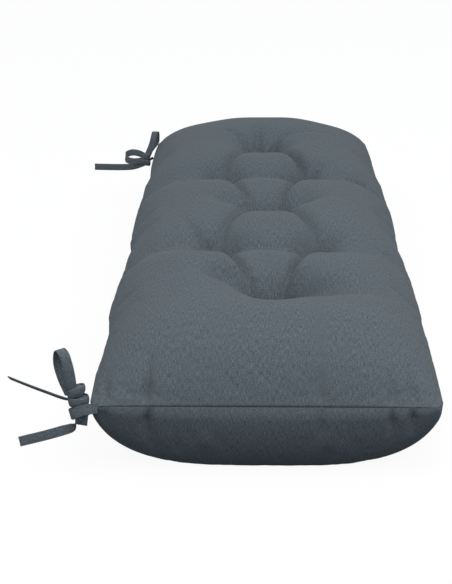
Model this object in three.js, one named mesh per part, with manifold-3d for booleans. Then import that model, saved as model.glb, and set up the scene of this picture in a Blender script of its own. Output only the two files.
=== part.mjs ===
// A tufted bench cushion with a bow-tied strap at each end of one long side.
//
// Millimetres, +Z up. The length runs along Y and the width along X, with the straps at -X.
// The cushion lies flat. The origin is the middle of the bottom of the whole object's box.

import * as THREE from 'three';
import { mergeVertices } from 'three/addons/utils/BufferGeometryUtils.js';
import Module from 'manifold-3d';

// ---------------------------------------------------------------------------
// Driving dimensions
// ---------------------------------------------------------------------------

const LENGTH = 1150; // seam to seam, end to end
const WIDTH = 470; // seam to seam, side to side, at the widest
const SEAM_HEIGHT = 112; // the seam above the surface the cushion lies on
const CORNER_RADIUS = 14;
const END_NARROWING = 7; // how much each half width loses from the middle to the ends
const SIDE_SCALLOP = 5; // how far the seam is drawn in beside each single tuft

// A panel swells from the seam to its crown over a run, by a power and an edge exponent.
// Tufting is how strongly the tufts and creases show in it.
const PANELS = {
  top: {
    crown: 89,
    tufting: 1,
    side: { run: 191, power: 2.2, edge: 0.63 },
    end: { run: 150, power: 2.4, edge: 0.66 },
  },
  bottom: {
    crown: 124,
    tufting: 0.5,
    side: { run: 226, power: 3, edge: 0.38 },
    end: { run: 70, power: 2.2, edge: 0.37 },
  },
};

const ROW_STEP = 163; // from a row of tufts to the next
const PAIR_SPACING = 168; // between the two tufts of a pair
const TUFT_SINK = 0.8; // share of the crown that a tuft takes away
const TUFT_REACH = 48; // how far its hollow spreads
const TUFT_SHARPNESS = 1.15; // a low one is a cone, a high one a bowl
const CREASE_REACH = 20;
const CREASE_SHARPNESS = 1.5;
const VALLEY_SHARPNESS = 2;

const COLUMNS = 30; // steps of the skin across the width
const ROWS = 70; // steps of the skin along the length
const EVENNESS = 0.35; // of the steps; the rest of them crowds towards the seam

const STRAP_WIDTH = 14;
const STRAP_THICKNESS = 2;
const STRAP_STEPS = 7; // steps from one row of a strap's table to the next
const KNOT_STEPS = { around: 12, down: 8 };
const CLEARANCE = 0.3; // between a strap and the seam that it is sewn into

// Seven tufts, one and two in turn. Rows count from the middle, sides from the centre line.
const TUFTS = {
  nearSingle: { row: -2, side: 0 },
  nearLeft: { row: -1, side: -1 },
  nearRight: { row: -1, side: 1 },
  middle: { row: 0, side: 0 },
  farLeft: { row: 1, side: -1 },
  farRight: { row: 1, side: 1 },
  farSingle: { row: 2, side: 0 },
};

// Creases from tuft to tuft. The depth is the share of the crown that is lost along it.
const CREASES = [
  { from: 'nearSingle', to: 'nearLeft', depth: 0.2 },
  { from: 'nearSingle', to: 'nearRight', depth: 0.2 },
  { from: 'nearLeft', to: 'nearRight', depth: 0.14 },
  { from: 'nearLeft', to: 'middle', depth: 0.2 },
  { from: 'nearRight', to: 'middle', depth: 0.2 },
  { from: 'middle', to: 'farLeft', depth: 0.2 },
  { from: 'middle', to: 'farRight', depth: 0.2 },
  { from: 'farLeft', to: 'farRight', depth: 0.14 },
  { from: 'farLeft', to: 'farSingle', depth: 0.2 },
  { from: 'farRight', to: 'farSingle', depth: 0.2 },
];

// Broad valleys that leave a tuft straight across (X) and along (Y), fading with distance.
const VALLEYS = [
  { from: 'nearLeft', across: -200, along: 0, depth: 0.18, reach: 34 },
  { from: 'nearRight', across: 200, along: 0, depth: 0.18, reach: 34 },
  { from: 'farLeft', across: -200, along: 0, depth: 0.18, reach: 34 },
  { from: 'farRight', across: 200, along: 0, depth: 0.18, reach: 34 },
  { from: 'nearSingle', across: -75, along: 12, depth: 0.3, reach: 28 },
  { from: 'nearSingle', across: 75, along: 12, depth: 0.3, reach: 28 },
  { from: 'middle', across: -60, along: 10, depth: 0.18, reach: 26 },
  { from: 'middle', across: 60, along: 10, depth: 0.18, reach: 26 },
  { from: 'farSingle', across: 0, along: 60, depth: 0.2, reach: 18 },
  { from: 'farSingle', across: 45, along: 60, depth: 0.14, reach: 16 },
  { from: 'farSingle', across: -60, along: 45, depth: 0.12, reach: 16 },
];

// Straps, from the place where they are sewn in. "at" is a point of the strap's middle line and
// "across" the way its width runs there.
const NEAR_TIE_FROM_END = 12;
const NEAR_STRAPS = {
  sewn: [
    { at: [11, -11.4, -3], across: [0, 0.15, 0.98] },
    { at: [3, -16, -1.5], across: [0, 0.1, 0.98] },
    { at: [-7, -18.5, -2.5], across: [-0.15, 0, 0.97] },
    { at: [-16.5, -17, -8], across: [-0.4, 0, 0.9] },
    { at: [-23.5, -11, -16], across: [-0.5, 0, 0.85] },
    { at: [-24, -3, -20], across: [-0.55, 0, 0.83] },
    { at: [-16, 2, -18], across: [-0.5, 0, 0.85] },
  ],
  loop: [
    { at: [-20, 0, 6], across: [0.97, -0.2, 0.1] },
    { at: [-21.5, -5, 24], across: [0.97, -0.2, 0.1] },
    { at: [-22.5, -6, 42], across: [0.97, -0.2, 0.1] },
    { at: [-25, -5, 58], across: [0.95, -0.25, 0.2] },
    { at: [-29, -1, 71], across: [0.9, -0.35, 0.1] },
    { at: [-35, 7, 73], across: [0.85, -0.5, -0.05] },
    { at: [-39, 14, 63], across: [0.85, -0.5, 0] },
    { at: [-40, 16, 47], across: [0.9, -0.4, 0.1] },
    { at: [-35, 12, 28], across: [0.9, -0.35, 0.2] },
    { at: [-26, 5, 9], across: [0.9, -0.3, 0.3] },
  ],
  lowTail: [
    { at: [-15, 2, -8], across: [0.8, -0.4, 0.3] },
    { at: [-16, -1, -24], across: [0.75, -0.3, 0.6] },
    { at: [-22.5, -8, -33], across: [0.35, 0.1, 0.93] },
    { at: [-37, -14, -35.5], across: [0.1, 0.25, 0.96] },
    { at: [-58, -20, -39], across: [0.05, 0.2, 0.97] },
    { at: [-90, -28, -43.5], across: [0.05, 0.2, 0.97] },
  ],
  highTail: [
    { at: [-18, 2, 1], across: [0, 0.8, -0.6] },
    { at: [-36, 9, 0], across: [0, 0.88, -0.47] },
    { at: [-60, 20, 2.5], across: [0, 0.88, -0.47] },
    { at: [-86, 31, 6.5], across: [0, 0.88, -0.47] },
    { at: [-112, 41, 12], across: [0, 0.88, -0.47] },
  ],
  stub: [
    { at: [-9, 2, 0], across: [0.97, -0.1, 0.2] },
    { at: [-9.5, -2, -16], across: [0.97, -0.1, 0.1] },
    { at: [-11.5, -5, -32], across: [0.97, -0.1, -0.1] },
  ],
};
const NEAR_KNOT = [
  { at: [-14, -2, 3], size: [27, 19, 21] },
  { at: [-16, -2, 18.5], size: [26, 16, 18] },
  { at: [-11, -1, -13], size: [28, 14, 26] },
];

const FAR_TIE_FROM_END = 105;
const FAR_STRAPS = {
  sewn: [
    { at: [-1, 0, -0.5], across: [0, 0.95, -0.3] },
    { at: [-8, -1, -4], across: [0, 0.95, -0.3] },
    { at: [-17, -2, -5], across: [0, 0.9, -0.4] },
  ],
  tail: [
    { at: [-15, -2, -8], across: [0.2, 0.5, 0.8] },
    { at: [-28, -7, -13], across: [0.1, 0.4, 0.9] },
    { at: [-44, -13, -16], across: [0, 0.4, 0.92] },
    { at: [-70, -17, -16], across: [0, 0.4, 0.92] },
    { at: [-97, -19, -15], across: [0, 0.4, 0.92] },
    { at: [-124, -20, -14], across: [0, 0.4, 0.92] },
  ],
  ring: [
    { at: [-17, 1, 2], across: [0, 0.1, 1] },
    { at: [-32, 10, 6], across: [0, 0.1, 1] },
    { at: [-47, 13, 7], across: [0, 0.1, 1] },
    { at: [-59, 5, 4], across: [0.1, 0.2, 0.97] },
    { at: [-56, -8, -2], across: [0.3, 0.5, 0.8] },
    { at: [-41, -13, -4.5], across: [0.2, 0.6, 0.75] },
    { at: [-20, -5, -4.5], across: [0, 0.5, 0.85] },
  ],
  loop: [
    { at: [-15, -1, 0], across: [0.95, -0.2, -0.2] },
    { at: [-8, -2, 15], across: [0.9, -0.3, -0.3] },
    { at: [-2.5, -2, 29], across: [0.85, -0.4, -0.3] },
    { at: [1.5, -1, 43], across: [0.85, -0.4, -0.2] },
    { at: [4.5, 4, 54], across: [0.9, -0.4, 0] },
    { at: [7, 10, 53], across: [0.75, -0.6, 0.2] },
    { at: [8.5, 13, 42], across: [0.6, -0.7, 0.35] },
    { at: [7.5, 13, 29], across: [0.55, -0.7, 0.4] },
    { at: [-0.5, 11, 17], across: [0.55, -0.7, 0.4] },
    { at: [-14, 3, 3], across: [0.8, -0.4, 0.4] },
  ],
};
const FAR_KNOT = [
  { at: [-16, -1, 4], size: [17, 14, 18] },
  { at: [-17, -2, -9], size: [21, 14, 24] },
];

// ---------------------------------------------------------------------------
// The cushion's skin
// ---------------------------------------------------------------------------

function tuftPlace(name) {
  const tuft = TUFTS[name];
  return new THREE.Vector2((tuft.side * PAIR_SPACING) / 2, tuft.row * ROW_STEP);
}

// From 0 at the seam to 1 where the panel has reached its full height.
function rise(distance, { run, power, edge }) {
  const t = THREE.MathUtils.clamp(distance / run, 0, 1);
  return (1 - (1 - t) ** power) ** edge;
}

const ROUND = { run: CORNER_RADIUS, power: 2, edge: 0.5 };
const FADE = { run: ROW_STEP, power: 2, edge: 0.5 };

// The side seam is drawn in beside each single tuft and bulges beside each pair.
function halfWidth(y) {
  const fromMiddle = Math.abs(y) / (LENGTH / 2);
  const fromEnd = Math.max(LENGTH / 2 - Math.abs(y), 0);
  const bulge = Math.abs(Math.sin((Math.PI / 2) * (y / ROW_STEP)));
  const scallop = SIDE_SCALLOP * (1 - bulge) * rise(fromEnd, FADE);
  const corner = CORNER_RADIUS * (1 - rise(fromEnd, ROUND));
  return WIDTH / 2 - END_NARROWING * fromMiddle ** 2 - scallop - corner;
}

function distanceToLine(point, start, end) {
  const run = end.clone().sub(start);
  const share = THREE.MathUtils.clamp(point.clone().sub(start).dot(run) / run.lengthSq(), 0, 1);
  return point.distanceTo(start.clone().addScaledVector(run, share));
}

// What tufts, creases and valleys leave of the crown at a point, 0 to 1.
function fullness(point) {
  let left = 1;
  for (const name of Object.keys(TUFTS)) {
    const distance = point.distanceTo(tuftPlace(name));
    left *= 1 - TUFT_SINK * Math.exp(-((distance / TUFT_REACH) ** TUFT_SHARPNESS));
  }
  for (const { from, to, depth } of CREASES) {
    const distance = distanceToLine(point, tuftPlace(from), tuftPlace(to));
    left *= 1 - depth * Math.exp(-((distance / CREASE_REACH) ** CREASE_SHARPNESS));
  }
  for (const { from, across, along, depth, reach } of VALLEYS) {
    const start = tuftPlace(from);
    const end = start.clone().add(new THREE.Vector2(across, along));
    const distance = distanceToLine(point, start, end);
    left *= 1 - depth * Math.exp(-((distance / reach) ** VALLEY_SHARPNESS));
  }
  return left;
}

// Steps from -1 to 1 that crowd together towards both ends, where the panel is steepest.
function crowded(step, steps) {
  const share = (2 * step) / steps - 1;
  return EVENNESS * share + (1 - EVENNESS) * Math.sin((Math.PI / 2) * share);
}

function skinPoint(column, row, side) {
  const panel = side > 0 ? PANELS.top : PANELS.bottom;
  const y = (crowded(row, ROWS) * LENGTH) / 2;
  const half = halfWidth(y);
  const x = crowded(column, COLUMNS) * half;
  const swell = rise(half - Math.abs(x), panel.side) * rise(LENGTH / 2 - Math.abs(y), panel.end);
  const height = side * panel.crown * swell * fullness(new THREE.Vector2(x, y)) ** panel.tufting;
  return [x, y, Math.max(height, -SEAM_HEIGHT)];
}

// Two panels of one grid each, which share the points of the seam.
function cushionGeometry() {
  const positions = [];
  const faces = [];
  const numbers = new Map();
  const pointOn = (column, row, side) => {
    const onSeam = column === 0 || column === COLUMNS || row === 0 || row === ROWS;
    const key = `${column},${row},${onSeam ? 0 : side}`;
    if (!numbers.has(key)) {
      numbers.set(key, positions.length / 3);
      positions.push(...skinPoint(column, row, side));
    }
    return numbers.get(key);
  };
  for (const side of [1, -1]) {
    for (let row = 0; row < ROWS; row += 1) {
      for (let column = 0; column < COLUMNS; column += 1) {
        const a = pointOn(column, row, side);
        const b = pointOn(column + 1, row, side);
        const c = pointOn(column + 1, row + 1, side);
        const d = pointOn(column, row + 1, side);
        const rising = column < COLUMNS / 2 === row < ROWS / 2;
        const pair = rising ? [[a, b, c], [a, c, d]] : [[a, b, d], [b, c, d]];
        for (const [first, second, third] of pair) {
          faces.push(first, side > 0 ? second : third, side > 0 ? third : second);
        }
      }
    }
  }
  return meshGeometry(positions, faces);
}

function meshGeometry(positions, faces) {
  const geometry = new THREE.BufferGeometry();
  geometry.setAttribute('position', new THREE.Float32BufferAttribute(positions, 3));
  geometry.setIndex(faces);
  geometry.computeVertexNormals();
  return geometry;
}

// ---------------------------------------------------------------------------
// The straps
// ---------------------------------------------------------------------------

// A flat strap along the rows of a table, with a rectangular section and closed ends.
function strapGeometry(rows, origin) {
  const places = rows.map((row) => new THREE.Vector3(...row.at).add(origin));
  const path = new THREE.CatmullRomCurve3(places, false, 'centripetal');
  const steps = (rows.length - 1) * STRAP_STEPS;
  const positions = [];
  for (let step = 0; step <= steps; step += 1) {
    const place = path.getPoint(step / steps);
    const ahead = path.getTangent(step / steps);
    const index = Math.min(Math.floor(step / STRAP_STEPS), rows.length - 2);
    const before = new THREE.Vector3(...rows[index].across);
    const after = new THREE.Vector3(...rows[index + 1].across);
    const across = before.lerp(after, step / STRAP_STEPS - index);
    across.addScaledVector(ahead, -across.dot(ahead)).normalize();
    const through = new THREE.Vector3().crossVectors(ahead, across);
    for (const [side, face] of [[-1, -1], [1, -1], [1, 1], [-1, 1]]) {
      const corner = place.clone();
      corner.addScaledVector(across, (side * STRAP_WIDTH) / 2);
      corner.addScaledVector(through, (face * STRAP_THICKNESS) / 2);
      positions.push(...corner.toArray());
    }
  }
  const faces = [0, 2, 1, 0, 3, 2];
  for (let step = 0; step < steps; step += 1) {
    for (let corner = 0; corner < 4; corner += 1) {
      const a = step * 4 + corner;
      const b = step * 4 + ((corner + 1) % 4);
      faces.push(a, b, b + 4, a, b + 4, a + 4);
    }
  }
  const last = steps * 4;
  faces.push(last, last + 1, last + 2, last, last + 2, last + 3);
  return meshGeometry(positions, faces);
}

function lumpGeometry({ at, size }, origin) {
  const geometry = new THREE.SphereGeometry(0.5, KNOT_STEPS.around, KNOT_STEPS.down);
  geometry.scale(...size);
  geometry.translate(...new THREE.Vector3(...at).add(origin).toArray());
  return geometry;
}

const wasm = await Module();
wasm.setup();

function toSolid(geometry) {
  geometry.deleteAttribute('normal');
  geometry.deleteAttribute('uv');
  const merged = mergeVertices(geometry);
  return new wasm.Manifold(new wasm.Mesh({
    numProp: 3,
    vertProperties: new Float32Array(merged.attributes.position.array),
    triVerts: new Uint32Array(merged.index.array),
  }));
}

// One bow: its straps and the lumps of its knot, joined to one solid.
function tieGeometry(straps, knot, y) {
  const widest = Math.max(...[-1, 0, 1].map((side) => halfWidth(y + (side * STRAP_WIDTH) / 2)));
  const sewnAt = new THREE.Vector3(-widest - CLEARANCE, y, 0);
  const pieces = [
    ...Object.values(straps).map((rows) => strapGeometry(rows, sewnAt)),
    ...knot.map((lump) => lumpGeometry(lump, sewnAt)),
  ];
  const solid = pieces.map(toSolid).reduce((joined, piece) => joined.add(piece));
  const mesh = solid.getMesh();
  return meshGeometry(Array.from(mesh.vertProperties), Array.from(mesh.triVerts));
}

// ---------------------------------------------------------------------------
// The object
// ---------------------------------------------------------------------------

const cloth = new THREE.MeshStandardMaterial({ color: 0x5e676f, roughness: 0.92, metalness: 0 });

const group = new THREE.Group();

function add(name, geometry) {
  const mesh = new THREE.Mesh(geometry, cloth.clone());
  mesh.name = name;
  group.add(mesh);
}

add('cushion', cushionGeometry());
add('tie_near', tieGeometry(NEAR_STRAPS, NEAR_KNOT, NEAR_TIE_FROM_END - LENGTH / 2));
add('tie_far', tieGeometry(FAR_STRAPS, FAR_KNOT, LENGTH / 2 - FAR_TIE_FROM_END));

const box = new THREE.Box3().setFromObject(group);
group.position.set(-(box.min.x + box.max.x) / 2, -(box.min.y + box.max.y) / 2, -box.min.z);

export default group;
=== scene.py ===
"""A tufted bench cushion in plain woven cloth, with a bow-tied strap at each end of one long side.

Metres, +Z up. The length runs along Y and the width along X, with the straps at -X.
"""

import math

import bpy
import numpy as np
from bpy.props import FloatProperty, FloatVectorProperty, PointerProperty
from mathutils import Matrix, Vector


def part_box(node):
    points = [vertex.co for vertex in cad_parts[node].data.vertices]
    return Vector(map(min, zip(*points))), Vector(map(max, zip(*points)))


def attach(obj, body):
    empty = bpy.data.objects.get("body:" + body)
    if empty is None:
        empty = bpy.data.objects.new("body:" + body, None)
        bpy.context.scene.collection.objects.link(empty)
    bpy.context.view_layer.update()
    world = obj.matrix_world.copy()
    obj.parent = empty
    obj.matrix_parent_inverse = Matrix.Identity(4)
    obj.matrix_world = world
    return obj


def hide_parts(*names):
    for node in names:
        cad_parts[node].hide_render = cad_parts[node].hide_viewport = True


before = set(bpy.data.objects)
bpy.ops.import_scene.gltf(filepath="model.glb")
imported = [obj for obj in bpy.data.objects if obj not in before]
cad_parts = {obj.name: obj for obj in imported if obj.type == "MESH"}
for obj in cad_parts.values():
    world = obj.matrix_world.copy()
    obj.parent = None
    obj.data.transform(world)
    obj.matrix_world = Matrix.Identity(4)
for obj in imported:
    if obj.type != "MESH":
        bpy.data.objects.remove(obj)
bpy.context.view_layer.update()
CUSHION_LOW, CUSHION_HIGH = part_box("cushion")

bl_info = {
    "name": "Bench Cushion",
    "version": (1, 0, 0),
    "blender": (4, 5, 0),
    "location": "3D View > Sidebar > Cushion",
    "description": "A tufted bench cushion with bow-tied straps",
    "category": "Add Mesh",
}

MM = 0.001

# --- The cushion's main sizes. Its own middle, seam by seam, is the zero of the tables below. ---

SEAM_HEIGHT = 112 * MM
MIDDLE = Vector((
    (CUSHION_LOW.x + CUSHION_HIGH.x) / 2,
    (CUSHION_LOW.y + CUSHION_HIGH.y) / 2,
    CUSHION_LOW.z + SEAM_HEIGHT,
))
LENGTH = CUSHION_HIGH.y - CUSHION_LOW.y
WIDTH = 470 * MM
CORNER_RADIUS = 14 * MM
END_NARROWING = 7 * MM
SIDE_SCALLOP = 5 * MM

# A panel swells from the seam to its crown over a run, by a power and an edge exponent.
PANELS = {
    "top": {
        "turn": 1,
        "crown": 89 * MM,
        "tufting": 1.0,
        "side": {"run": 191 * MM, "power": 2.2, "edge": 0.63},
        "end": {"run": 136 * MM, "power": 2.4, "edge": 0.8},
    },
    "bottom": {
        "turn": -1,
        "crown": 124 * MM,
        "tufting": 0.5,
        "side": {"run": 226 * MM, "power": 3.0, "edge": 0.38},
        "end": {"run": 62 * MM, "power": 2.0, "edge": 0.5},
    },
}

# The puffed line of the two long sides: the place along Y, and how far the left and the right
# side stand out there, in millimetres.
SIDE_PUFFS = (
    (-575, 0, 0), (-500, 0, 0), (-450, -3, 0), (-398, -3, 2), (-372, -3, 2), (-345, 1, 3),
    (-315, 5, 5), (-283, 4, 4), (-250, 1, 2), (-214, -1, 1), (-180, -4, 0), (-142, -6, -2),
    (-100, -6, -2), (-64, -9, -4), (-40, -4, -2), (-20, 0, 0), (20, 1, 2), (65, 0, 2),
    (114, -1, 2), (162, -2, 0), (210, -3, 0), (264, 0, 3), (324, -2, 2), (400, 0, 0), (575, 0, 0),
)
SIDE_PUFF_POWER = 6

# --- Tufts, creases and folds, in millimetres from the middle ---

ROW_STEP = 163 * MM
TUFT_SINK = 0.74
# Keeps the line of a stitch from having no length at all.
LEAST_STITCH = 0.01 * MM

# How sharply each kind of hollow or dome ends past its reach.
TUFT_SHARPNESS = 1.0
CREASE_SHARPNESS = 1.1
VALLEY_SHARPNESS = 2.0
DOME_SHARPNESS = 2
FOLD_SHARPNESS = 1.3
PLEAT_SHARPNESS = 1.6

# Seven tufts, one and two in turn: the place of each, the half length of its stitch across the
# cushion and the reach of its hollow.
TUFTS = {
    "near_single": (4, -342, 14, 22),
    "near_left": (-70, -188, 4, 21),
    "near_right": (78, -190, 4, 21),
    "middle": (4, -16, 14, 21),
    "far_left": (-74, 148, 4, 21),
    "far_right": (74, 148, 4, 21),
    "far_single": (2, 312, 14, 23),
}

# Creases from tuft to tuft: the share of the crown that is lost along it, its half width, and
# how far its middle leans outward.
CREASES = (
    ("near_single", "near_left", 0.27, 7.5, -3),
    ("near_single", "near_right", 0.3, 7.5, -3),
    ("near_left", "near_right", 0.26, 26, 0),
    ("near_left", "middle", 0.22, 9, 12),
    ("near_right", "middle", 0.2, 9, 18),
    ("middle", "far_left", 0.22, 8, -3),
    ("middle", "far_right", 0.22, 8, -3),
    ("far_left", "far_right", 0.26, 26, 0),
    ("far_left", "far_single", 0.22, 9, 12),
    ("far_right", "far_single", 0.32, 8, 16),
)
CREASE_POINTS = 7

# Domes that stand lower or higher between their creases: the place, the lift and the reach.
DOMES = (
    (4, -240, -12, 45),
    (4, 88, -8, 45),
    (4, -85, -3, 50),
    (2, 245, -3, 50),
    (74, -384, -12, 52),
    (-90, -390, -3, 60),
    (6, 465, -2, 55),
    (-110, 480, -6, 60),
    (125, 480, -6, 60),
)

# Broad valleys that leave a tuft: how far they run across and along, the share of the crown
# that is lost, the half width, and whether it runs out to nothing at its far end.
VALLEYS = (
    ("near_left", -200, 0, 0.18, 34, False),
    ("near_right", 200, 0, 0.18, 34, False),
    ("far_left", -200, 0, 0.18, 34, False),
    ("far_right", 200, 0, 0.18, 34, False),
    ("near_single", -66, 30, 0.3, 24, False),
    ("near_single", 190, -22, 0.5, 25, True),
    ("near_single", 0, -45, 0.16, 38, False),
    ("near_single", 0, 120, 0.34, 32, True),
    ("middle", 0, 120, 0.3, 32, True),
    ("middle", -60, 14, 0.18, 24, False),
    ("middle", 60, 14, 0.18, 24, False),
    ("far_single", 0, 90, 0.2, 40, True),
)

# Fine folds in the cloth: the depth, the half width, where it fades out, and the points that
# it runs through.
FOLDS = (
    (15, 8, "end", (-8, 322), (-8, 352), (-8, 384), (-8, 424)),
    (12, 6, "end", (-16, 322), (-35, 350), (-55, 370), (-84, 394)),
    (14, 6, "end", (14, 322), (26, 344), (42, 364), (66, 390)),
    (5, 8, "both", (40, 346), (66, 370), (100, 382), (140, 384)),
    (10, 7, "end", (-80, -178), (-106, -152), (-120, -130), (-134, -100)),
    (7, 6, "end", (84, -182), (104, -168), (128, -152)),
    (6, 6, "end", (-80, 156), (-100, 176), (-116, 192)),
    (10, 6, "end", (80, 156), (100, 180), (120, 200)),
    (10, 6, "both", (226, 128), (206, 142), (187, 154), (150, 162)),
    (9, 6, "end", (16, -20), (40, -12), (70, -6), (110, 6)),
    (6, 8, "end", (-14, -330), (-32, -318), (-54, -304), (-80, -280)),
    (6, 9, "end", (18, -340), (45, -342), (90, -340), (125, -326)),
)
FOLD_ROUNDNESS = 0.6

# Pleats that start in the near end seam: the place across, how far it runs up and down, the
# depth, the half width and how far it leans.
PLEATS = (
    (-156, 56, 74, 13.0, 5.5, 4),
    (-210, 26, 38, 6.0, 5.0, 2),
    (69, 46, 60, 5.0, 5.5, 0),
    (162, 40, 50, 9.0, 5.0, 0),
    (190, 42, 48, 10.5, 5.5, -2),
)
PLEAT_ZONE = 80 * MM
PLEAT_FADE = 0.8
# A pleat is shallow at the seam and has its full depth this far from it.
PLEAT_START = 14 * MM
PLEAT_AT_SEAM = 0.1

# --- How finely the cover is made and how it settles ---

# Steps across and along, and how evenly they are spread from edge to edge.
SETTLING_STEPS, SETTLING_EVENNESS = (66, 160), 0.35
FINE_STEPS, FINE_EVENNESS = (134, 334), 0.3

SETTLING_FRAMES = 20
HELD_AT_TUFT = 12 * MM
HELD_AT_SEAM = 3 * MM
HELD_AT_FLOOR = 1 * MM
COVER_CLOTH = {
    "quality": 5,
    "mass": 0.3,
    "tension_stiffness": 20,
    "compression_stiffness": 20,
    "shear_stiffness": 8,
    "bending_stiffness": 0.4,
}

# --- The straps, in millimetres from the place where each is sewn in ---

STRAP_WIDTH = 14 * MM
STRAP_THICKNESS = 1.8 * MM
KNOT_ARCH = 1.0 * MM
GROOVE_DEPTH = 0.25 * MM
GROOVE_HALF = 0.6 * MM
STITCH_INSET = 2.2 * MM
STITCH_SINK = 0.12 * MM
STITCH_SHARE = 0.78
SEAM_CLEARANCE = 0.3 * MM
NEAR_TIE_FROM_END = 12 * MM
FAR_TIE_FROM_END = 105 * MM
PATH_STEPS = 10
TURN_ROWS, TURN_STEPS, TURN_FLARE = 16, 4, 0.05
CORE_AROUND, CORE_DOWN = 20, 12
CORE_INSET, CORE_OVERHANG = 0.2, 0.6
CORE_BLUNT, CORE_ENDS, CORE_CRUMPLE = 0.6, 0.8, 0.05

# Each row is a point of the strap's middle line and the way its width runs there.
NEAR_STRAPS = {
    "sewn": (
        ((11, -11.4, -3), (0, 0.3, 0.95)),
        ((3, -16, -1.5), (0, 0.32, 0.94)),
        ((-7, -18.5, -2.5), (-0.12, 0.3, 0.94)),
        ((-16.5, -17, -7), (-0.18, 0.3, 0.93)),
        ((-23, -13, -12), (-0.24, 0.25, 0.93)),
        ((-25, -4, -15), (-0.25, 0.15, 0.95)),
        ((-16, 2, -15), (-0.2, 0.1, 0.97)),
    ),
    "loop": (
        ((-20, 0, 6), (0.9, 0.2, 0.1)),
        ((-21.5, -5, 24), (0.9, 0.35, 0.1)),
        ((-22.5, -6, 42), (0.85, 0.45, 0.1)),
        ((-25, -5, 58), (0.82, 0.5, 0.08)),
        ((-29, -1, 70), (0.8, 0.55, 0)),
        ((-35, 7, 72), (0.8, 0.6, 0)),
        ((-39, 14, 63), (0.8, 0.55, 0)),
        ((-40, 16, 47), (0.85, 0.45, 0.05)),
        ((-35, 12, 28), (0.9, 0.3, 0.1)),
        ((-26, 5, 9), (0.9, 0.2, 0.2)),
    ),
    "low_tail": (
        ((-15, 2, -8), (0.8, -0.4, 0.3)),
        ((-16, -1, -24), (0.75, -0.3, 0.6)),
        ((-22.5, -8, -33), (0.35, 0.1, 0.93)),
        ((-37, -14, -35.5), (0.1, 0.25, 0.96)),
        ((-58, -20, -39), (0.05, 0.2, 0.97)),
        ((-90, -28, -43.5), (0.05, 0.2, 0.97)),
    ),
    "high_tail": (
        ((-18, 2, 1), (0, 0.88, -0.47)),
        ((-36, 9, 0), (0, 0.71, -0.7)),
        ((-60, 20, 2.5), (0, 0.71, -0.7)),
        ((-86, 31, 6.5), (0, 0.72, -0.69)),
        ((-112, 41, 12), (0, 0.73, -0.68)),
    ),
    "stub": (
        ((-9, 2, 0), (0.97, -0.1, 0.2)),
        ((-9.5, -2, -16), (0.97, -0.1, 0.1)),
        ((-11.5, -5, -32), (0.97, -0.1, -0.1)),
    ),
}
# Turns of the strap round the knot: the middle of a turn, its half sizes across and along, the
# width of the strap and how far the right side of the turn is lifted.
NEAR_WRAPS = (
    ((-14, -2, 3), (12, 8), 13, 1),
    ((-16.5, -2, 17), (10.5, 6.5), 12, 4),
    ((-12, 0, -12), (10, 5), 13, -1),
)

FAR_STRAPS = {
    "sewn": (
        ((-1, 0, -0.5), (0, 0.82, -0.57)),
        ((-8, -1, -4), (0, 0.82, -0.57)),
        ((-17, -2, -5), (0, 0.85, -0.53)),
    ),
    "tail": (
        ((-15, -2, -8), (0.2, 0.2, 0.95)),
        ((-28, -7, -13), (0.1, 0.05, 0.99)),
        ((-44, -13, -16), (0, 0, 1)),
        ((-70, -17, -16), (0, 0.03, 1)),
        ((-97, -19, -15), (0, 0.06, 1)),
        ((-124, -20, -14), (0, 0.06, 1)),
    ),
    "ring": (
        ((-17, 1, 2), (0, 0.1, 1)),
        ((-32, 10, 6), (0, 0.1, 1)),
        ((-47, 13, 7), (0, 0.1, 1)),
        ((-59, 5, 4), (0.1, 0.1, 0.97)),
        ((-56, -8, -2), (0.2, 0.05, 0.95)),
        ((-41, -13, -4.5), (0.1, 0.05, 0.98)),
        ((-20, -5, -4.5), (0, 0.1, 0.95)),
    ),
    "loop": (
        ((-15, -1, 0), (0.95, -0.2, -0.2)),
        ((-8, -2, 15), (0.9, -0.3, -0.3)),
        ((-2.5, -2, 29), (0.85, -0.4, -0.3)),
        ((1.5, -1, 43), (0.85, -0.4, -0.2)),
        ((4.5, 4, 54), (0.9, -0.4, 0)),
        ((7, 10, 53), (0.75, -0.6, 0.2)),
        ((8.5, 13, 42), (0.6, -0.7, 0.35)),
        ((7.5, 13, 29), (0.55, -0.7, 0.4)),
        ((-0.5, 11, 17), (0.55, -0.7, 0.4)),
        ((-14, 3, 3), (0.8, -0.4, 0.4)),
    ),
}
FAR_WRAPS = (
    ((-16, -1, 4), (7, 5.5), 11, 2),
    ((-17, -2, -9), (8.5, 5.5), 13, -2),
)

# --- The weave ---

# Slubs of the warp and of the weft: how fine they are across and along, per metre, and where
# their pattern starts.
SLUBS = (
    ((1100.0, 120.0, 1.0), (0.0, 0.0, 0.0)),
    ((330.0, 800.0, 1.0), (7.0, 3.0, 0.0)),
)
SLUB_CONTRAST, SLUB_RELIEF = 5.3, 0.8
CLOUD_SCALE, CLOUD_CONTRAST = 45.0, 0.2
# The crests of the threads are painted lighter and the gaps between them darker: painted light and
# shade on the weave.
THREAD_PAINTED_SHADE, THREAD_RELIEF = 0.5, 0.6
THREAD_MIDDLE = 0.35
# The straps take the cushion's own cloth made lighter: painted light for the light that falls on
# them.
STRAP_PAINTED_LIGHT = 1.12

# --- The stage ---

# Where the camera stands from the middle of the near end's seam, and how it is turned.
CAMERA_PLACE = Vector((-16.6, -1241.7, 730.2)) * MM
CAMERA_DOWN = math.radians(24.57)
CAMERA_TURN = math.radians(-1.55)
CAMERA_ROLL = math.radians(-0.507)
SENSOR = 36.0
LIGHT_DISTANCE = 3.2
LIGHT_SIZE = 2.0
LIGHT_COLOUR = (1.0, 0.965, 0.93)
SKY_COLOUR = (0.88, 0.96, 1.0, 1.0)
WHITE = (1.0, 1.0, 1.0, 1.0)
PALE = 0.93
FLOOR_SHADE = (0.10, 0.10, 0.10, 1.0)
FLOOR_BOUNCE = (0.10, 0.11, 0.12, 1.0)

# --- Settings that a user would change ---


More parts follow.
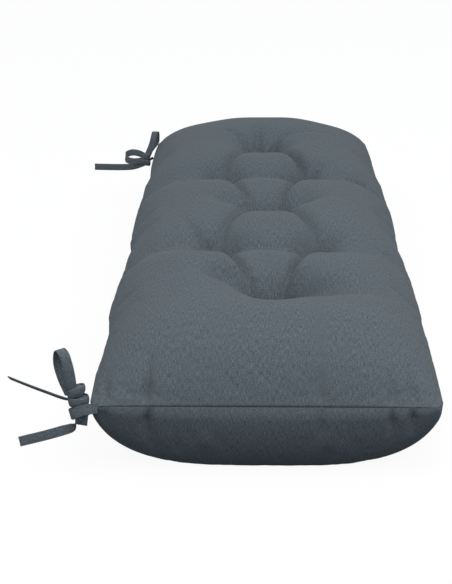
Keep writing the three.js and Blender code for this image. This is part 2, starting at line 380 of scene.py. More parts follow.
class CushionSettings(bpy.types.PropertyGroup):
    """The cushion's cloth and filling."""

    pressure: FloatProperty(
        name="Filling pressure", default=2.0, min=0.0,
        description="How hard the filling pushes the cover out while it settles",
    )
    slack: FloatProperty(
        name="Slack", default=0.004, min=0.0, max=0.1,
        description="Share by which the cover is cut larger than its filling",
    )
    swell_limit: FloatProperty(
        name="Swell limit", default=2.5 * MM, unit="LENGTH",
        description="How far the cover may move while it settles",
    )
    seam_depth: FloatProperty(
        name="Seam depth", default=0.9 * MM, unit="LENGTH",
        description="How deep the seam lies between the two panels",
    )
    lip: FloatProperty(
        name="Seam lip", default=0.25 * MM, unit="LENGTH",
        description="Half the opening of the groove over the seam",
    )


class ClothSettings(bpy.types.PropertyGroup):
    """The woven cloth that everything is made of."""

    base: FloatVectorProperty(
        name="Base colour", default=(0.132, 0.158, 0.181), min=0.0, max=1.0, subtype="COLOR",
        description="Colour of the cloth seen from a step away",
    )
    thread: FloatProperty(
        name="Thread spacing", default=0.85 * MM, unit="LENGTH",
        description="Distance from one thread of the weave to the next",
    )
    heather: FloatProperty(
        name="Heather", default=0.24, min=0.0, max=1.0,
        description="How much lighter and darker single threads are",
    )


class StrapSettings(bpy.types.PropertyGroup):
    """The folded straps of the bows."""

    width: FloatProperty(
        name="Width", default=STRAP_WIDTH, unit="LENGTH", description="Width of a strap",
    )
    thickness: FloatProperty(
        name="Thickness", default=STRAP_THICKNESS, unit="LENGTH",
        description="Thickness of a folded strap",
    )
    pitch: FloatProperty(
        name="Stitch pitch", default=2.6 * MM, unit="LENGTH",
        description="Distance from one edge stitch to the next",
    )
    thread: FloatProperty(
        name="Sewing thread", default=0.45 * MM, unit="LENGTH",
        description="Thickness of the sewing thread",
    )


class StageSettings(bpy.types.PropertyGroup):
    """Floor, lights and camera."""

    floor_size: FloatProperty(
        name="Floor size", default=16.0, unit="LENGTH", description="Side of the square floor",
    )
    key_power: FloatProperty(
        name="Key light", default=14.5, unit="POWER",
        description="Power of the soft light in front on the right",
    )
    front_power: FloatProperty(
        name="Front light", default=28.5, unit="POWER",
        description="Power of the soft light high in front",
    )
    sky: FloatProperty(
        name="Sky", default=0.475, description="Strength of the even light from all round",
    )
    lens: FloatProperty(
        name="Lens", default=68.9, description="Focal length on a 36 mm sensor",
    )


# --- Meshes ---


def new_object(name, data):
    """An object in the scene, at the origin."""
    made = bpy.data.objects.new(name, data)
    bpy.context.scene.collection.objects.link(made)
    return made


def new_piece(name, positions, faces, uvs=None):
    """An object at the origin with its place in its mesh, smooth shaded."""
    mesh = bpy.data.meshes.new(name)
    mesh.from_pydata(np.asarray(positions).tolist(), [], faces)
    if uvs is not None:
        layer = mesh.uv_layers.new(name="cloth")
        layer.data.foreach_set("uv", np.asarray(uvs, np.float32).ravel())
    mesh.polygons.foreach_set("use_smooth", [True] * len(mesh.polygons))
    mesh.update()
    return new_object(name, mesh)


def finish_piece(piece, slot, *nodes):
    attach(piece, "root")
    if nodes:
        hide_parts(*nodes)


# --- The cushion's skin ---


def tuft_place(name, side=0):
    """The middle of a tuft's stitch, or its end towards that side, -1 or 1."""
    x, y, half, _ = TUFTS[name]
    return np.array([x + side * half, y]) * MM


def rise(distance, run, power, edge):
    """From 0 at the seam to 1 where the panel has reached its full height."""
    share = np.clip(distance / run, 0.0, 1.0)
    return (1.0 - (1.0 - share) ** power) ** edge


def fade_out(distance, reach, sharpness):
    """From 1 on a line down to 0 well past its reach, which is in millimetres."""
    return np.exp(-((distance / (reach * MM)) ** sharpness))


def half_width(y):
    """The side seam is drawn in beside each single tuft and bulges beside each pair."""
    from_middle = np.abs(y) / (LENGTH / 2)
    from_end = np.maximum(LENGTH / 2 - np.abs(y), 0.0)
    bulge = np.abs(np.sin(math.pi / 2 * y / ROW_STEP))
    scallop = SIDE_SCALLOP * (1 - bulge) * rise(from_end, ROW_STEP, 2, 0.5)
    corner = CORNER_RADIUS * (1 - rise(from_end, CORNER_RADIUS, 2, 0.5))
    return WIDTH / 2 - END_NARROWING * from_middle**2 - scallop - corner


def line_distance(x, y, start, end):
    """Distance to a straight line between two points, and how far along it, 0 to 1."""
    run = end - start
    share = ((x - start[0]) * run[0] + (y - start[1]) * run[1]) / (run @ run)
    share = np.clip(share, 0.0, 1.0)
    return np.hypot(x - start[0] - share * run[0], y - start[1] - share * run[1]), share


def tuft_distance(name, x, y):
    """Distance to the stitch of a tuft."""
    left, right = (tuft_place(name, side) for side in (-1, 1))
    return line_distance(x, y, left, right + np.array([LEAST_STITCH, 0.0]))[0]


def polyline_distance(x, y, points):
    """Distance to a line through several points, and how far along it, 0 to 1."""
    ends = np.array(points, float)
    runs = np.linalg.norm(np.diff(ends, axis=0), axis=1)
    before = np.concatenate([[0.0], np.cumsum(runs)]) / runs.sum()
    nearest = np.full_like(x, np.inf)
    along = np.zeros_like(x)
    for k, (start, end) in enumerate(zip(ends[:-1], ends[1:])):
        distance, share = line_distance(x, y, start, end)
        closer = distance < nearest
        nearest = np.where(closer, distance, nearest)
        along = np.where(closer, before[k] + share * (before[k + 1] - before[k]), along)
    return nearest, along


def bowed(first, last, bow):
    """The points of a crease, which leans outward from the centre line at its middle."""
    way = np.sign(tuft_place(first)[0] + tuft_place(last)[0])
    start, end = tuft_place(first, way), tuft_place(last, way)
    side = np.array([way * bow * MM, 0.0])
    shares = np.linspace(0, 1, CREASE_POINTS)
    return [start + (end - start) * t + side * 4 * t * (1 - t) for t in shares]


def dome_lift(x, y):
    """How much higher or lower the single domes stand."""
    total = np.zeros_like(x)
    for across, along, lift, reach in DOMES:
        distance = np.hypot(x - across * MM, y - along * MM)
        total += lift * MM * fade_out(distance, reach, DOME_SHARPNESS)
    return total


def fullness(x, y):
    """What tufts, creases and valleys leave of the crown, 0 to 1."""
    left = np.ones_like(x)
    for name, (_, _, _, reach) in TUFTS.items():
        left *= 1 - TUFT_SINK * fade_out(tuft_distance(name, x, y), reach, TUFT_SHARPNESS)
    for first, last, depth, reach, bow in CREASES:
        distance, _ = polyline_distance(x, y, bowed(first, last, bow))
        left *= 1 - depth * fade_out(distance, reach, CREASE_SHARPNESS)
    for tuft, across, along, depth, reach, tapers in VALLEYS:
        start = tuft_place(tuft)
        distance, share = line_distance(x, y, start, start + np.array([across, along]) * MM)
        depth = depth * (1 - share if tapers else 1.0)
        left *= 1 - depth * fade_out(distance, reach, VALLEY_SHARPNESS)
    return left


def crowded(steps, evenness):
    """Steps from -1 to 1 that crowd together towards both ends, where a panel is steepest."""
    share = np.linspace(-1.0, 1.0, steps + 1)
    return evenness * share + (1 - evenness) * np.sin(math.pi / 2 * share)


def skin(panel, across, along, lip):
    """A panel's points over a grid of shares, -1 to 1."""
    y = along[:, None] * LENGTH / 2 + np.zeros((1, len(across)))
    half = half_width(y)
    x = across[None, :] * half
    swell = rise(half - np.abs(x), **panel["side"])
    swell = swell * rise(LENGTH / 2 - np.abs(y), **panel["end"])
    height = lip + (panel["crown"] - lip) * swell * fullness(x, y) ** panel["tufting"]
    height = np.minimum(height, SEAM_HEIGHT) if panel["turn"] < 0 else height + dome_lift(x, y)
    at, left, right = np.array(SIDE_PUFFS).T * MM
    puff = np.where(x < 0, -np.interp(y, at, left), np.interp(y, at, right))
    outward = puff * (np.abs(x) / half) ** SIDE_PUFF_POWER
    return np.stack([x + outward, y, panel["turn"] * height], axis=-1)


def grid_normals(points):
    """Unit normals of a grid of points, pointing up for the top panel."""
    along = np.gradient(points, axis=0)
    across = np.gradient(points, axis=1)
    normal = np.cross(across, along)
    return normal / (np.linalg.norm(normal, axis=-1, keepdims=True) + 1e-12)


def grid_faces(rows, columns):
    """Quads of one panel's grid, numbered row by row, all turned the same way."""
    corner = (np.arange(rows)[:, None] * (columns + 1) + np.arange(columns)[None, :]).ravel()
    return np.stack([corner, corner + 1, corner + columns + 2, corner + columns + 1], axis=-1)


def sew(top, bottom):
    """Joins two panels of one grid along their shared rim. Gives points, faces and the
    numbers of the bottom panel's points."""
    rows, columns = top.shape[0] - 1, top.shape[1] - 1
    numbers = np.arange((rows + 1) * (columns + 1)).reshape(rows + 1, columns + 1)
    rim = np.zeros_like(numbers, bool)
    rim[0, :] = rim[-1, :] = rim[:, 0] = rim[:, -1] = True
    below = numbers.copy()
    below[~rim] = numbers.size + np.arange((~rim).sum())
    faces = grid_faces(rows, columns)
    positions = np.concatenate([top.reshape(-1, 3), bottom[~rim]])
    turned = below.ravel()[faces][:, ::-1]
    return positions, np.concatenate([faces, turned]), below


def stretch_at(grid, rows, columns):
    """Values of a coarse grid at fractional rows and columns, by cubic interpolation."""
    for axis, places in ((0, rows), (1, columns)):
        size = grid.shape[axis]
        low = np.clip(np.floor(places).astype(int), 0, size - 2)
        t = (places - low).reshape([-1 if k == axis else 1 for k in range(grid.ndim)])
        near = [np.take(grid, np.clip(low + k, 0, size - 1), axis=axis) for k in (-1, 0, 1, 2)]
        slope_a, slope_b = (near[2] - near[0]) / 2, (near[3] - near[1]) / 2
        rest = near[1] - near[2]
        grid = near[1] + t * (slope_a + t * (
            -3 * rest - 2 * slope_a - slope_b + t * (2 * rest + slope_a + slope_b)))
    return grid


def settle(panels, settings):
    """Lets the cover settle over its filling as a cloth, held at the seam, the tufts and the
    floor. Gives how far each point of the two panels moved."""
    positions, faces, below = sew(*panels)
    cover = new_piece("settling_cover", positions, faces.tolist())
    x, y, z = positions.T
    held = (np.abs(z) < HELD_AT_SEAM) | (z < HELD_AT_FLOOR - SEAM_HEIGHT)
    for name in TUFTS:
        held |= tuft_distance(name, x, y) < HELD_AT_TUFT
    group = cover.vertex_groups.new(name="held")
    group.add(np.nonzero(held)[0].tolist(), 1.0, "REPLACE")
    cloth = cover.modifiers.new("Cloth", "CLOTH")
    cloth.point_cache.frame_end = SETTLING_FRAMES
    cloth.collision_settings.use_collision = False
    for key, value in COVER_CLOTH.items():
        setattr(cloth.settings, key, value)
    cloth.settings.vertex_group_mass = "held"
    cloth.settings.shrink_min = -settings.slack
    cloth.settings.use_pressure = True
    cloth.settings.uniform_pressure_force = settings.pressure
    cloth.settings.effector_weights.gravity = 0
    scene = bpy.context.scene
    for step in range(1, SETTLING_FRAMES + 1):
        scene.frame_set(step)
    settled = cover.evaluated_get(bpy.context.evaluated_depsgraph_get())
    moved = np.zeros(len(positions) * 3, np.float32)
    settled.data.vertices.foreach_get("co", moved)
    scene.frame_set(1)
    bpy.data.objects.remove(cover)
    shift = moved.reshape(-1, 3) - positions
    length = np.linalg.norm(shift, axis=1, keepdims=True)
    shift *= np.minimum(1.0, settings.swell_limit / np.maximum(length, 1e-9))
    return shift[:below.size].reshape(*below.shape, 3), shift[below]


def fold_depth(points, name):
    """How deep the fine folds and the pleats press into a panel."""
    x, y = points[..., 0], points[..., 1]
    depth = np.zeros_like(x)
    for deep, reach, fade, *through in FOLDS if name == "top" else ():
        distance, along = polyline_distance(x, y, np.array(through) * MM)
        left = 1 - along**2 if fade == "end" else np.sin(math.pi * along) ** FOLD_ROUNDNESS
        depth = np.maximum(depth, deep * MM * left * fade_out(distance, reach, FOLD_SHARPNESS))
    height = np.abs(points[..., 2])
    near_end = y < PLEAT_ZONE - LENGTH / 2
    for at, up, down, deep, reach, lean in PLEATS:
        share = height / ((up if name == "top" else down) * MM)
        left = np.clip(1 - share, 0.0, 1.0) ** PLEAT_FADE
        left = left * np.clip(height / PLEAT_START, PLEAT_AT_SEAM, 1.0)
        middle = (at + lean * np.clip(share, 0, 1)) * MM
        profile = fade_out(np.abs(x - middle), reach, PLEAT_SHARPNESS) * near_end
        depth = np.maximum(depth, deep * MM * left * profile)
    return depth


def with_rim(points, depth):
    """Adds the sunk seam round a panel, drawn in from its edge and on the seam's own plane."""
    wide = np.pad(points, ((1, 1), (1, 1), (0, 0)), mode="edge")
    for outer, inner in ((0, 1), (-1, -2)):
        wide[outer] = wide[inner]
        wide[outer, :, 1] -= np.sign(wide[outer, :, 1]) * depth
        wide[outer, :, 2] = 0.0
    for outer, inner in ((0, 1), (-1, -2)):
        edge = wide[:, inner].copy()
        edge[:, 0] -= np.sign(edge[:, 0]) * depth
        edge[:, 2] = 0.0
        wide[:, outer] = edge
    return wide


def flat_coordinates(points):
    """Where each point of a panel lies on its flat cut, whose threads run straight: the lengths
    over one row beside the middle and over one column beside the tufts."""
    rows, columns = points.shape[:2]
    row = points[rows // 2 + rows // 8]
    column = points[:, columns // 2 + columns // 6]
    u = np.pad(np.cumsum(np.linalg.norm(np.diff(row, axis=0), axis=-1)), (1, 0))
    v = np.pad(np.cumsum(np.linalg.norm(np.diff(column, axis=0), axis=-1)), (1, 0))
    across, along = np.meshgrid(u - u[columns // 2], v - v[rows // 2])
    return np.stack([across, along], axis=-1)


def cushion_mesh(settings):
    """The finished skin: points, faces and the cloth's own flat coordinates."""
    coarse = [crowded(steps, SETTLING_EVENNESS) for steps in SETTLING_STEPS]
    fine = [crowded(steps, FINE_EVENNESS) for steps in FINE_STEPS]
    columns, rows = (np.interp(f, c, np.arange(len(c))) for f, c in zip(fine, coarse))
    moves = {}
    panels = [skin(panel, *coarse, 0.0) for panel in PANELS.values()]
    moves = dict(zip(PANELS, settle(panels, settings)))
    panels = []
    for name, panel in PANELS.items():
        points = skin(panel, *fine, settings.lip)
        if moves:
            points = points + stretch_at(moves[name], rows, columns)
        normal = grid_normals(points) * panel["turn"]
        points = points - normal * fold_depth(points, name)[..., None]
        points[..., 2] = np.maximum(points[..., 2], -SEAM_HEIGHT)
        panels.append(with_rim(points, settings.seam_depth))
    positions, faces, _ = sew(*panels)
    top, bottom = (flat_coordinates(panel).reshape(-1, 2) for panel in panels)
    corners = grid_faces(panels[0].shape[0] - 1, panels[0].shape[1] - 1)
    loops = np.concatenate([top[corners], bottom[corners][:, ::-1]])
    return positions + np.array(MIDDLE), faces, loops


class MESH_OT_bench_cushion(bpy.types.Operator):
    """Make the filled, tufted cover"""

    bl_idname = "mesh.bench_cushion"
    bl_label = "Cushion"

    def execute(self, context):
        positions, faces, uvs = cushion_mesh(context.scene.bench_cushion)
        piece = new_piece("cushion_cover", positions, faces.tolist(), uvs)
        piece.data.materials.append(cloth_material("cushion_cloth", context.scene.bench_cloth, 1.0))
        finish_piece(piece, "cloth", "cushion")
        return {"FINISHED"}


# --- The straps ---


def smooth_path(points, steps):
    """A centripetal Catmull-Rom curve through points, with that many steps a span."""

    def between(low, high, t, a, b):
        return (high - t) / (high - low) * a + (t - low) / (high - low) * b

    points = np.array(points, float)
    ends = [2 * points[0] - points[1], *points, 2 * points[-1] - points[-2]]
    made = []
    for k in range(len(points) - 1):
        p0, p1, p2, p3 = ends[k:k + 4]
        t1 = np.linalg.norm(p1 - p0) ** 0.5
        t2 = t1 + np.linalg.norm(p2 - p1) ** 0.5
        t3 = t2 + np.linalg.norm(p3 - p2) ** 0.5
        last = k == len(points) - 2
        for t in np.linspace(t1, t2, steps + 1)[:None if last else -1]:
            middle = between(t1, t2, t, p1, p2)
            before = between(0.0, t2, t, between(0.0, t1, t, p0, p1), middle)
            after = between(t1, t3, t, middle, between(t2, t3, t, p2, p3))
            made.append(between(t1, t2, t, before, after))
    return np.array(made)


def strap_section(width, thickness, arch=0.0):
    """Points round a folded strap: full round edges and a groove under each stitch line. An
    arched one stands out in its middle."""
    half, depth = width / 2, thickness / 2
    stitch = half - STITCH_INSET
    left = [
        (-half, 0.0), (-half + 0.3 * depth, 0.7 * depth), (-half + depth, depth),
        (-stitch - GROOVE_HALF, depth), (-stitch, depth - GROOVE_DEPTH),
        (-stitch + GROOVE_HALF, depth), (-0.4 * half, 1.06 * depth),
    ]
    upper = [*left, (0.0, 1.1 * depth), *((-side, through) for side, through in left[::-1])]
    lower = [(side, -through) for side, through in upper[-2:0:-1]]
    section = np.array(upper + lower)
    section[:, 1] += arch * (1 - (section[:, 0] / half) ** 2)
    return section


class Strap:
    """A strap's middle line with the way of its width and of its thickness at every step."""

    def __init__(self, rows, origin, steps=PATH_STEPS):
        self.path = smooth_path([np.array(at, float) * MM + origin for at, _ in rows], steps)
        ways = np.array([across for _, across in rows], float)
        spans = np.linspace(0, len(rows) - 1, len(self.path))
        ways = np.stack([np.interp(spans, np.arange(len(rows)), way) for way in ways.T], 1)
        ahead = np.gradient(self.path, axis=0)
        ahead /= np.linalg.norm(ahead, axis=1, keepdims=True)
        ways -= ahead * (ways * ahead).sum(1, keepdims=True)
        self.across = ways / np.linalg.norm(ways, axis=1, keepdims=True)
        self.through = np.cross(ahead, self.across)
        runs = np.linalg.norm(np.diff(self.path, axis=0), axis=1)
        self.along = np.concatenate([[0.0], np.cumsum(runs)])

    def mesh(self, section):
        """Points, faces and flat coordinates of the strap's body."""
        count, steps = len(section), len(self.path)
        points = (self.path[:, None]
                  + self.across[:, None] * section[None, :, :1]
                  + self.through[:, None] * section[None, :, 1:]).reshape(-1, 3)
        faces, uvs = [], []
        rim = np.concatenate([[0.0], np.cumsum(np.linalg.norm(np.diff(section, axis=0), axis=1))])
        close = rim[-1] + np.linalg.norm(section[0] - section[-1])
        for step in range(steps - 1):
            low, high = self.along[step], self.along[step + 1]
            for k in range(count):
                a, b = step * count + k, step * count + (k + 1) % count
                u0, u1 = rim[k], close if k == count - 1 else rim[k + 1]
                faces.append((a, b, b + count, a + count))
                uvs += [(u0, low), (u1, low), (u1, high), (u0, high)]
        for step, order in ((0, range(count - 1, -1, -1)), (steps - 1, range(count))):
            faces.append(tuple(step * count + k for k in order))
            uvs += [(section[k, 0], self.along[step] + section[k, 1]) for k in order]
        return points, faces, uvs


def wrap_rows(middle, half, lift):
    """A closed turn of strap round the knot, as rows of a strap's table."""
    rows = []
    for k in range(TURN_ROWS + 1):
        turn = 2 * math.pi * k / TURN_ROWS + math.pi / 2
        x, y = math.cos(turn), math.sin(turn)
        at = (middle[0] + half[0] * x, middle[1] + half[1] * y, middle[2] + lift * x)
        rows.append((at, (TURN_FLARE * x, TURN_FLARE * y, 1.0)))
    return rows


def core_mesh(middle, half, width, lift, origin):
    """The cloth that fills a turn of the knot: an egg with blunt ends."""
    size = (half[0] - CORE_INSET, half[1] - CORE_INSET, width / 2 + CORE_OVERHANG)
    points = []
    for j in range(1, CORE_DOWN):
        tilt = math.pi * j / CORE_DOWN - math.pi / 2
        wide = math.cos(tilt) ** CORE_BLUNT
        high = math.copysign(abs(math.sin(tilt)) ** CORE_ENDS, tilt)
        for k in range(CORE_AROUND):
            turn = 2 * math.pi * k / CORE_AROUND
            crumple = 1 + CORE_CRUMPLE * math.sin(3 * turn + 2 * tilt)
            x = size[0] * wide * math.cos(turn) * crumple
            y = size[1] * wide * math.sin(turn) * crumple
            points.append((x, y, size[2] * high + lift * x / half[0]))
    points += [(0, 0, -size[2]), (0, 0, size[2])]
    bottom, top = len(points) - 2, len(points) - 1
    points = origin + (np.array(middle) + np.array(points)) * MM
    rings = [
        [(j * CORE_AROUND + k, j * CORE_AROUND + (k + 1) % CORE_AROUND) for k in range(CORE_AROUND)]
        for j in range(CORE_DOWN - 1)
    ]
    faces = [(a, b, b + CORE_AROUND, a + CORE_AROUND) for ring in rings[:-1] for a, b in ring]
    for (a, b), (c, d) in zip(rings[0], rings[-1]):
        faces += [(bottom, b, a), (c, d, top)]
    uvs = [(points[k][0] + points[k][1], points[k][2]) for face in faces for k in face]
    return points, faces, uvs


def join_parts(parts):
    """One list of points, faces and flat coordinates out of several."""
    points, faces, uvs = [], [], []
    for more_points, more_faces, more_uvs in parts:
        start = sum(len(p) for p in points)
        points.append(more_points)
        faces += [tuple(start + k for k in face) for face in more_faces]
        uvs += more_uvs
    return np.concatenate(points), faces, uvs


def stitch_lines(runs, settings):
    """The lines that the edge stitches of the straps follow, as points and edges."""
    inset, sunk = settings.width / 2 - STITCH_INSET, settings.thickness / 2 - STITCH_SINK
    points, edges = [], []
    for run in runs:
        for side, face in ((-1, -1), (-1, 1), (1, -1), (1, 1)):
            start = sum(len(p) for p in points)
            points.append(run.path + run.across * side * inset + run.through * face * sunk)
            edges += [(start + k, start + k + 1) for k in range(len(run.path) - 1)]
    return np.concatenate(points), edges


class NodeMaker:
    """Short ways to add nodes to a tree and link them. A node stands for its first output."""

    def __init__(self, tree):
        self.tree = tree

    def add(self, kind, inputs=(), **settings):
        """A node with its settings, then its inputs by name or number."""
        node = self.tree.nodes.new(kind)
        for key, value in settings.items():
            setattr(node, key, value)
        for key, value in dict(inputs).items():
            if isinstance(value, bpy.types.Node):
                value = value.outputs[0]
            if isinstance(value, bpy.types.NodeSocket):
                self.tree.links.new(value, node.inputs[key])
            else:
                node.inputs[key].default_value = value
        return node

    def maths(self, operation, *values):
        return self.add("ShaderNodeMath", dict(enumerate(values)), operation=operation)

    def plus(self, a, b):
        return self.maths("ADD", a, b)

    def times(self, a, b):
        return self.maths("MULTIPLY", a, b)

    def noise(self, vector, scale, detail=2.0):
        return self.add("ShaderNodeTexNoise", {"Vector": vector, "Scale": scale, "Detail": detail})

    def for_eye(self, seen, unseen):
        """One shader for what the eye meets and another for what light meets."""
        eye = self.add("ShaderNodeLightPath").outputs["Is Camera Ray"]
        return self.add("ShaderNodeMixShader", {0: eye, 1: unseen, 2: seen})


def new_group(name, kind, takes, gives):
    """An empty node group with named sockets: the maker of its nodes and what it is given."""
    tree = bpy.data.node_groups.new(name, kind)
    for way, sockets in (("INPUT", takes), ("OUTPUT", gives)):
        for label, socket in sockets.items():
            tree.interface.new_socket(label, in_out=way, socket_type="NodeSocket" + socket)
    make = NodeMaker(tree)
    return make, make.add("NodeGroupInput").outputs


def new_material(name):
    """An empty material and the maker of its nodes."""
    material = bpy.data.materials.new(name)
    material.use_nodes = True
    material.node_tree.nodes.clear()
    return material, NodeMaker(material.node_tree)


def stitch_tree():
    """Short beads of thread, one after another along every line of a mesh."""
    name = "Edge stitches"
    if name in bpy.data.node_groups:
        return bpy.data.node_groups[name]
    takes = {"Lines": "Geometry", "Pitch": "Float", "Length": "Float", "Thread": "Float",
             "Material": "Material"}
    make, given = new_group(name, "GeometryNodeTree", takes, {"Stitches": "Geometry"})
    lines = make.add("GeometryNodeMeshToCurve", {"Mesh": given["Lines"]})
    spaced = make.add(
        "GeometryNodeResampleCurve", {"Curve": lines, "Length": given["Pitch"]}, mode="LENGTH")
    tangent = make.add("GeometryNodeInputTangent")
    turn = make.add("FunctionNodeAlignRotationToVector", {"Vector": tangent}, axis="X")
    bead = make.add("GeometryNodeMeshUVSphere", {"Segments": 6, "Rings": 4, "Radius": 0.5})
    thick = given["Thread"]
    size = make.add("ShaderNodeCombineXYZ", {"X": given["Length"], "Y": thick, "Z": thick})
    placed = make.add("GeometryNodeInstanceOnPoints", {
        "Points": spaced, "Instance": bead, "Rotation": turn, "Scale": size,
    })
    real = make.add("GeometryNodeRealizeInstances", {"Geometry": placed})
    covered = make.add(
        "GeometryNodeSetMaterial", {"Geometry": real, "Material": given["Material"]})
    make.add("NodeGroupOutput", {"Stitches": covered})
    return make.tree


def make_stitches(name, runs, settings, cloth):
    """The edge stitches of the straps, as one plain mesh."""
    points, edges = stitch_lines(runs, settings)
    mesh = bpy.data.meshes.new(name + "_lines")
    mesh.from_pydata(points.tolist(), edges, [])
    guide = new_object(name + "_lines", mesh)
    tree = stitch_tree()
    modifier = guide.modifiers.new("Stitches", "NODES")
    modifier.node_group = tree
    sockets = {s.name: s.identifier for s in tree.interface.items_tree if s.in_out == "INPUT"}
    modifier[sockets["Pitch"]] = settings.pitch
    modifier[sockets["Length"]] = settings.pitch * STITCH_SHARE
    modifier[sockets["Thread"]] = settings.thread
    modifier[sockets["Material"]] = thread_material(name + "_thread", cloth)
    shown = guide.evaluated_get(bpy.context.evaluated_depsgraph_get())
    made = bpy.data.meshes.new_from_object(shown)
    bpy.data.objects.remove(guide)
    if not made.polygons:
        raise RuntimeError("no stitches were made for " + name)
    made.polygons.foreach_set("use_smooth", [True] * len(made.polygons))
    stitches = new_object(name, made)
    finish_piece(stitches, "strap")
    return stitches


def make_tie(context, name, node, straps, wraps, y):
    """One bow: its straps and the turns of its knot, and the stitches along its edges."""
    settings, cloth = context.scene.bench_straps, context.scene.bench_cloth
    widest = max(half_width(np.array([y + side * settings.width / 2]))[0] for side in (-1, 0, 1))
    origin = np.array(MIDDLE) + np.array([-widest - SEAM_CLEARANCE, y, 0.0])
    runs = [Strap(rows, origin) for rows in straps.values()]
    stitches = make_stitches(name + "_stitches", runs, settings, cloth)
    section = strap_section(settings.width, settings.thickness)
    parts = [run.mesh(section) for run in runs]
    for middle, half, width, lift in wraps:
        turn = Strap(wrap_rows(middle, half, lift), origin, TURN_STEPS)
        parts.append(turn.mesh(strap_section(width * MM, settings.thickness, KNOT_ARCH)))
        parts.append(core_mesh(middle, half, width, lift, origin))
        runs.append(turn)
    piece = new_piece(name, *join_parts(parts))
    # The straps get a lighter copy of the cushion's cloth: painted light.
    piece.data.materials.append(cloth_material(name + "_cloth", cloth, STRAP_PAINTED_LIGHT))
    finish_piece(piece, "strap", node)


class MESH_OT_near_tie(bpy.types.Operator):
    """Make the bow at the near corner"""

    bl_idname = "mesh.bench_near_tie"
    bl_label = "Near bow"

    def execute(self, context):
        y = NEAR_TIE_FROM_END - LENGTH / 2
        make_tie(context, "bow_near", "tie_near", NEAR_STRAPS, NEAR_WRAPS, y)
        return {"FINISHED"}


class MESH_OT_far_tie(bpy.types.Operator):
    """Make the bow at the far corner"""

    bl_idname = "mesh.bench_far_tie"
    bl_label = "Far bow"

    def execute(self, context):
        y = LENGTH / 2 - FAR_TIE_FROM_END
        make_tie(context, "bow_far", "tie_far", FAR_STRAPS, FAR_WRAPS, y)
        return {"FINISHED"}


# --- Cloth and thread ---


def weave_group():
    """Plain weave with heathered threads, on flat coordinates in metres. The crests of the threads
    are painted lighter and the gaps darker, as painted light and shade.
    """
    name = "Plain weave"
    if name in bpy.data.node_groups:
        return bpy.data.node_groups[name]
    takes = {"Vector": "Vector", "Thread": "Float", "Heather": "Float", "Base": "Color"}
    make, given = new_group(
        name, "ShaderNodeTree", takes, {"Color": "Color", "Height": "Float"})
    place = given["Vector"]
    split = make.add("ShaderNodeSeparateXYZ", {0: place})
    waves = []
    for k in (0, 1):
        turns = make.maths("DIVIDE", split.outputs[k], given["Thread"])
        waves.append(make.maths("SINE", make.times(turns, math.pi)))
    cross = make.times(*waves)
    warp_over = make.maths("MAXIMUM", cross, 0.0)
    weft_over = make.maths("MAXIMUM", make.times(cross, -1.0), 0.0)
    warp = make.times(make.maths("ABSOLUTE", waves[0]), warp_over)
    weft = make.times(make.maths("ABSOLUTE", waves[1]), weft_over)
    threads = make.plus(warp, weft)
    slubs = []
    for scale, start in SLUBS:
        grid = {"Vector": place, "Scale": scale, "Location": start}
        slubs.append(make.noise(make.add("ShaderNodeMapping", grid), 1.0, 1.0))
    slub = make.plus(make.plus(*slubs), -1.0)
    cloud = make.plus(make.noise(place, CLOUD_SCALE, 3.0), -0.5)
    tone = make.plus(make.times(slub, SLUB_CONTRAST), make.times(cloud, CLOUD_CONTRAST))
    # Painted light and shade: lighter on the crests of the threads, darker in the gaps between
    # them.
    raised = make.plus(threads, -THREAD_MIDDLE)
    tone = make.plus(tone, make.times(raised, THREAD_PAINTED_SHADE))
    gain = make.plus(make.times(tone, given["Heather"]), 1.0)
    colour = {0: given["Base"], "Scale": gain}
    height = make.plus(make.times(threads, THREAD_RELIEF), make.times(slub, SLUB_RELIEF))
    make.add("NodeGroupOutput", {
        "Color": make.add("ShaderNodeVectorMath", colour, operation="SCALE"), "Height": height,
    })
    return make.tree


def cloth_material(name, cloth, shade):
    """The woven cloth on one piece. Shade darkens or lightens the whole of it: painted light and
    shade, which makes the straps a lighter copy of the same cloth.
    """
    material, make = new_material(name)
    weave = make.add("ShaderNodeGroup", {
        "Vector": make.add("ShaderNodeUVMap", uv_map="cloth"),
        "Thread": cloth.thread,
        "Heather": cloth.heather,
        "Base": (*[c * shade for c in cloth.base], 1.0),
    }, node_tree=weave_group())
    bump = make.add("ShaderNodeBump", {
        "Strength": 0.35, "Distance": 0.25 * MM, "Height": weave.outputs["Height"],
    })
    shader = make.add("ShaderNodeBsdfPrincipled", {
        "Base Color": weave.outputs["Color"],
        "Normal": bump,
        "Roughness": 0.92,
        "Specular IOR Level": 0.2,
        "Sheen Weight": 0.12,
        "Sheen Roughness": 0.5,
    })
    make.add("ShaderNodeOutputMaterial", {"Surface": shader})
    return material


def thread_material(name, cloth):
    """Sewing thread, twisted and a little lighter than the cloth."""
    material, make = new_material(name)
    place = make.add("ShaderNodeTexCoord").outputs["Object"]
    gain = make.plus(make.times(make.noise(place, 400.0), 0.5), 0.85)
    colour = {0: cloth.base, "Scale": gain}
    bump = make.add("ShaderNodeBump", {
        "Strength": 0.3, "Distance": 0.05 * MM, "Height": make.noise(place, 2500.0),
    })
    shader = make.add("ShaderNodeBsdfPrincipled", {
        "Base Color": make.add("ShaderNodeVectorMath", colour, operation="SCALE"),
        "Normal": bump,
        "Roughness": 0.7,
        "Specular IOR Level": 0.3,
    })
    make.add("ShaderNodeOutputMaterial", {"Surface": shader})
    return material


# --- The stage ---


def floor_material():
    """Pale for the eye, and dim as a mirror of light, so the cushion's underside stays dark."""
    material, make = new_material("stage_floor")
    bright = make.add("ShaderNodeEmission", {"Color": WHITE, "Strength": PALE})
    shaded = make.add("ShaderNodeBsdfDiffuse", {"Color": FLOOR_SHADE})
    seen = make.add("ShaderNodeAddShader", {0: bright, 1: shaded})
    bounce = make.add("ShaderNodeBsdfDiffuse", {"Color": FLOOR_BOUNCE})
    make.add("ShaderNodeOutputMaterial", {"Surface": make.for_eye(seen, bounce)})
    return material


